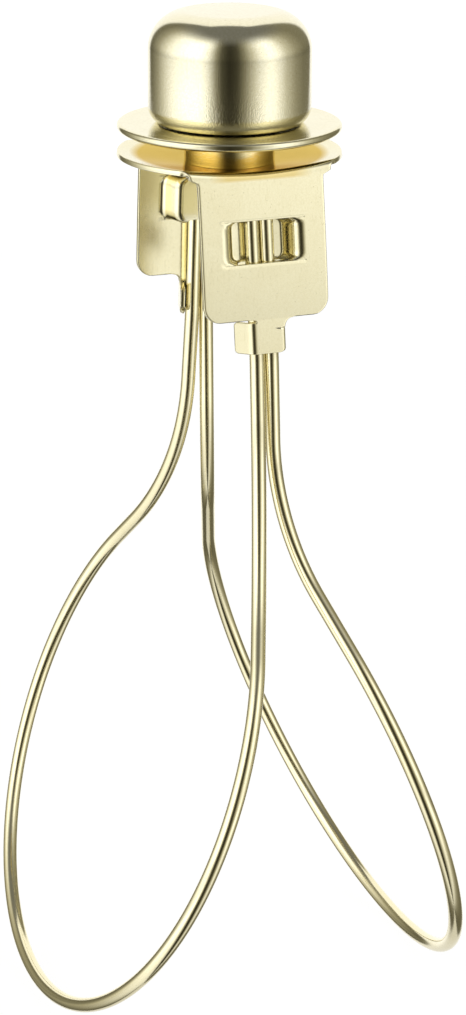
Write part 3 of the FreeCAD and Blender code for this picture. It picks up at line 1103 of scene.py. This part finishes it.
def makeWireTree():
    # a round wire along a route, with the way along and around it kept for the finish
    tree, given = makeTree("GeometryNodeTree", "wireAlongRoute", [
        ("Geometry", "Geometry"),
        ("Radius", "Float", 0.875 * mm),
        ("Sides", "Int", 24),
        ("Around", "Float", 5.5 * mm),
        ("Material", "Material"),
    ], [("Geometry", "Geometry")])
    way = tree.nodes.new("GeometryNodeSplineParameter").outputs
    steady = addNode(tree, "GeometryNodeSetCurveNormal", {"Curve": given["Geometry"]},
                     mode="MINIMUM_TWIST")
    circle = addNode(tree, "GeometryNodeCurvePrimitiveCircle", {
        "Radius": given["Radius"], "Resolution": given["Sides"],
    })
    around = calculate(tree, "MULTIPLY", way["Factor"], given["Around"])
    line = keepValue(tree, "along", steady.outputs["Curve"], way["Length"])
    section = keepValue(tree, "around", circle.outputs["Curve"], around)
    sweepSection(tree, line, section, given["Material"])
    return tree


def buildWire(name, node, loop, sizes, tree):
    route = wireRoute(loop, sizes)
    curve = bpy.data.curves.new(name + "Route", "CURVE")
    curve.dimensions = "3D"
    spline = curve.splines.new("POLY")
    spline.points.add(len(route) - 1)
    for target, p in zip(spline.points, route):
        target.co = (*(p * mm), 1)
    line = addObject(name + "Route", curve)
    runTree(line, tree, {
        "Radius": sizes["diameter"] / 2 * mm,
        "Sides": sizes["sides"],
        "Around": sizes["around"] * mm,
        "Material": metals["springWire"],
    })
    mesh = bakedMesh(line)
    mesh.name = name
    bpy.data.objects.remove(line)
    piece = addObject(name, mesh)
    smoothShade(mesh, 50)
    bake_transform(piece)
    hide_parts(node)


print("bending the wire loops")
wireTree = makeWireTree()
buildWire("leftLoopWire", "left_wire_loop", loopSizes["left"], wireSizes, wireTree)
buildWire("rightLoopWire", "right_wire_loop", loopSizes["right"], wireSizes, wireTree)


# Studio. Azimuths are degrees to the right, from the camera's direction for the room's
# levels and from straight in front of the object for the softboxes and the camera.

studio = {
    "floorSize": 0.72,
    "floorGap": 0.0001,
    "floorColour": (0.86, 0.86, 0.85),
    "floorGlow": 0.9,
    "backdropWhite": 1.05,
    "cameraAzimuth": -21.737,
    # levels by azimuth, and by height from -1 straight down to 1 straight up
    "boxes": [
        (-180, 0.2), (-140, 0.15), (-120, 0.35), (-105, 0.72), (-90, 1.15), (-75, 1.45),
        (-60, 1.6), (-42, 1.6), (-30, 1.05), (-20, 0.3), (-12, 0.07), (0, 0.025),
        (12, 0.06), (22, 0.25), (34, 0.65), (45, 1.08), (60, 1.45), (72, 1.12),
        (86, 0.62), (105, 0.32), (125, 0.2), (145, 0.2), (180, 0.2),
    ],
    "boxHeights": [
        (-1, 0.6), (-0.6, 0.8), (-0.43, 0.9), (-0.34, 1.12), (-0.22, 1.1), (-0.10, 0.78),
        (0.0, 1.0), (0.1, 1.1), (1, 1.1),
    ],
    "wall": [(-180, 1), (-151, 1), (-148, 0), (149, 0), (153, 1), (180, 1)],
    "wallHeights": [(-1, 0.6), (-0.62, 0.75), (-0.42, 1), (0.905, 1), (0.925, 0), (1, 0)],
    "wallColour": (1.12, 1.11, 1.08),
    "overhead": (0.18, 0.18, 0.17),
    "overheadStart": 0.60,
    "overheadFull": 0.95,
    "softboxes": {
        "leftSoftbox": {"azimuth": -76.7, "power": 2.0},
        "rightSoftbox": {"azimuth": 36.3, "power": 2.0},
    },
    "softboxElevation": 34,
    "softboxDistance": 0.9,
    "softboxWidth": 0.42,
    "softboxHeight": 0.9,
}
cameraView = {
    "azimuth": -21.737,
    "height": 0.082346,
    "distance": 0.375025,
    "yaw": -0.096,
    "pitch": 18.446,
    "roll": 0.29,
    "lens": 116.22,
}


def buildFloor(values):
    mesh = bpy.data.meshes.new("floor")
    half = values["floorSize"] / 2
    height = cadBox[0][2] - values["floorGap"]
    corners = [(-half, -half, height), (half, -half, height), (half, half, height), (-half, half, height)]
    mesh.from_pydata(corners, [], [(0, 1, 2, 3)])
    material = bpy.data.materials.new("paleFloor")
    material.use_nodes = True
    tree = material.node_tree
    shader = tree.nodes["Principled BSDF"]
    shader.inputs["Base Color"].default_value = (*values["floorColour"], 1)
    shader.inputs["Roughness"].default_value = 0.8
    shader.inputs["Specular IOR Level"].default_value = 0.0
    glow = addNode(tree, "ShaderNodeEmission", {"Strength": values["backdropWhite"]})
    rays = tree.nodes.new("ShaderNodeLightPath")
    share = calculate(tree, "MULTIPLY", rays.outputs["Is Camera Ray"], values["floorGlow"])
    mix = addNode(tree, "ShaderNodeMixShader", {"Fac": share, 1: shader.outputs[0], 2: glow.outputs[0]})
    tree.links.new(mix.outputs[0], tree.nodes["Material Output"].inputs["Surface"])
    floor = addObject("floor", mesh, material)
    floor.visible_glossy = False


def levelRamp(tree, source, stops, span):
    # levels on a scale from -span/2 to span/2, a little warmer where they are dim
    ramp = addNode(tree, "ShaderNodeValToRGB", {"Fac": source})
    elements = ramp.color_ramp.elements
    elements.remove(elements[1])
    for i, (place, level) in enumerate(stops):
        position = 0.5 + place / span
        stop = elements.new(position) if i else elements[0]
        if i == 0:
            stop.position = position
        warm = 0.4 * (1 - min(1, level))
        stop.color = (level, level * (1 - 0.2 * warm), level * (0.98 - warm), 1)
    return ramp.outputs["Color"]


def buildWorld(values):
    # white where the camera looks; in reflections two tall softboxes, a white wall behind
    # the object, and a dark room behind the camera and overhead
    world = bpy.data.worlds.new("paleStudio")
    bpy.context.scene.world = world
    world.use_nodes = True
    tree = world.node_tree
    tree.nodes.clear()
    place = tree.nodes.new("ShaderNodeTexCoord").outputs["Generated"]
    turn = addNode(tree, "ShaderNodeMapping", {
        "Vector": place, "Rotation": (0, 0, math.radians(90 - values["cameraAzimuth"])),
    }, vector_type="VECTOR")
    around = addNode(tree, "ShaderNodeTexGradient", {"Vector": turn.outputs["Vector"]},
                     gradient_type="RADIAL").outputs["Fac"]
    up = addNode(tree, "ShaderNodeSeparateXYZ", {"Vector": place}).outputs["Z"]
    height = remap(tree, up, -1.0, 1.0)
    boxes = addNode(tree, "ShaderNodeVectorMath", {
        0: levelRamp(tree, around, values["boxes"], 360),
        "Scale": levelRamp(tree, height, values["boxHeights"], 2),
    }, operation="SCALE")
    below = remap(tree, up, values["overheadFull"], values["overheadStart"],
                  interpolation_type="SMOOTHSTEP")
    front = mixColours(tree, below, (*values["overhead"], 1), boxes.outputs[0])
    wall = calculate(tree, "MULTIPLY", levelRamp(tree, around, values["wall"], 360),
                     levelRamp(tree, height, values["wallHeights"], 2))
    whole = mixColours(tree, wall, front, (*values["wallColour"], 1))
    room = addNode(tree, "ShaderNodeBackground", {"Color": whole, "Strength": 1.0})
    white = addNode(tree, "ShaderNodeBackground", {
        "Color": (1, 1, 1, 1), "Strength": values["backdropWhite"],
    })
    rays = tree.nodes.new("ShaderNodeLightPath")
    seen = addNode(tree, "ShaderNodeMixShader", {
        "Fac": rays.outputs["Is Camera Ray"], 1: room.outputs[0], 2: white.outputs[0],
    })
    addNode(tree, "ShaderNodeOutputWorld", {"Surface": seen.outputs[0]})


def towards(azimuth, elevation):
    # unit vector, both angles in radians
    level = math.cos(elevation)
    return Vector((math.sin(azimuth) * level, -math.cos(azimuth) * level, math.sin(elevation)))


def addSoftbox(name, box, values):
    light = bpy.data.lights.new(name, "AREA")
    light.shape = "RECTANGLE"
    light.size = values["softboxWidth"]
    light.size_y = values["softboxHeight"]
    light.energy = box["power"]
    lamp = addObject(name, light)
    angles = math.radians(box["azimuth"]), math.radians(values["softboxElevation"])
    lamp.location = towards(*angles) * values["softboxDistance"]
    lamp.rotation_euler = lamp.location.to_track_quat("Z", "Y").to_euler()
    lamp.visible_glossy = False


def buildCamera(view):
    # the photograph's own viewpoint
    around = math.radians(view["azimuth"])
    turned = around + math.radians(view["yaw"])
    roll = math.radians(view["roll"])
    back = towards(turned, math.radians(view["pitch"]))
    side = Vector((math.cos(turned), math.sin(turned), 0))
    top = back.cross(side)
    right = side * math.cos(roll) + top * math.sin(roll)
    upward = top * math.cos(roll) - side * math.sin(roll)
    camera = bpy.data.cameras.new("photoView")
    camera.lens = view["lens"]
    camera.sensor_width = 36
    camera.sensor_fit = "AUTO"
    camera.clip_start = 0.01
    camera.clip_end = 20
    holder = addObject("photoView", camera)
    spot = towards(around, 0) * view["distance"] + Vector((0, 0, view["height"]))
    turn = Matrix((right, upward, back)).transposed().to_4x4()
    holder.matrix_world = Matrix.Translation(spot) @ turn
    bpy.context.scene.camera = holder


print("lighting the studio")
buildFloor(studio)
buildWorld(studio)
for name, box in studio["softboxes"].items():
    addSoftbox(name, box, studio)
buildCamera(cameraView)
bpy.context.scene.view_settings.view_transform = "Standard"

print("done")
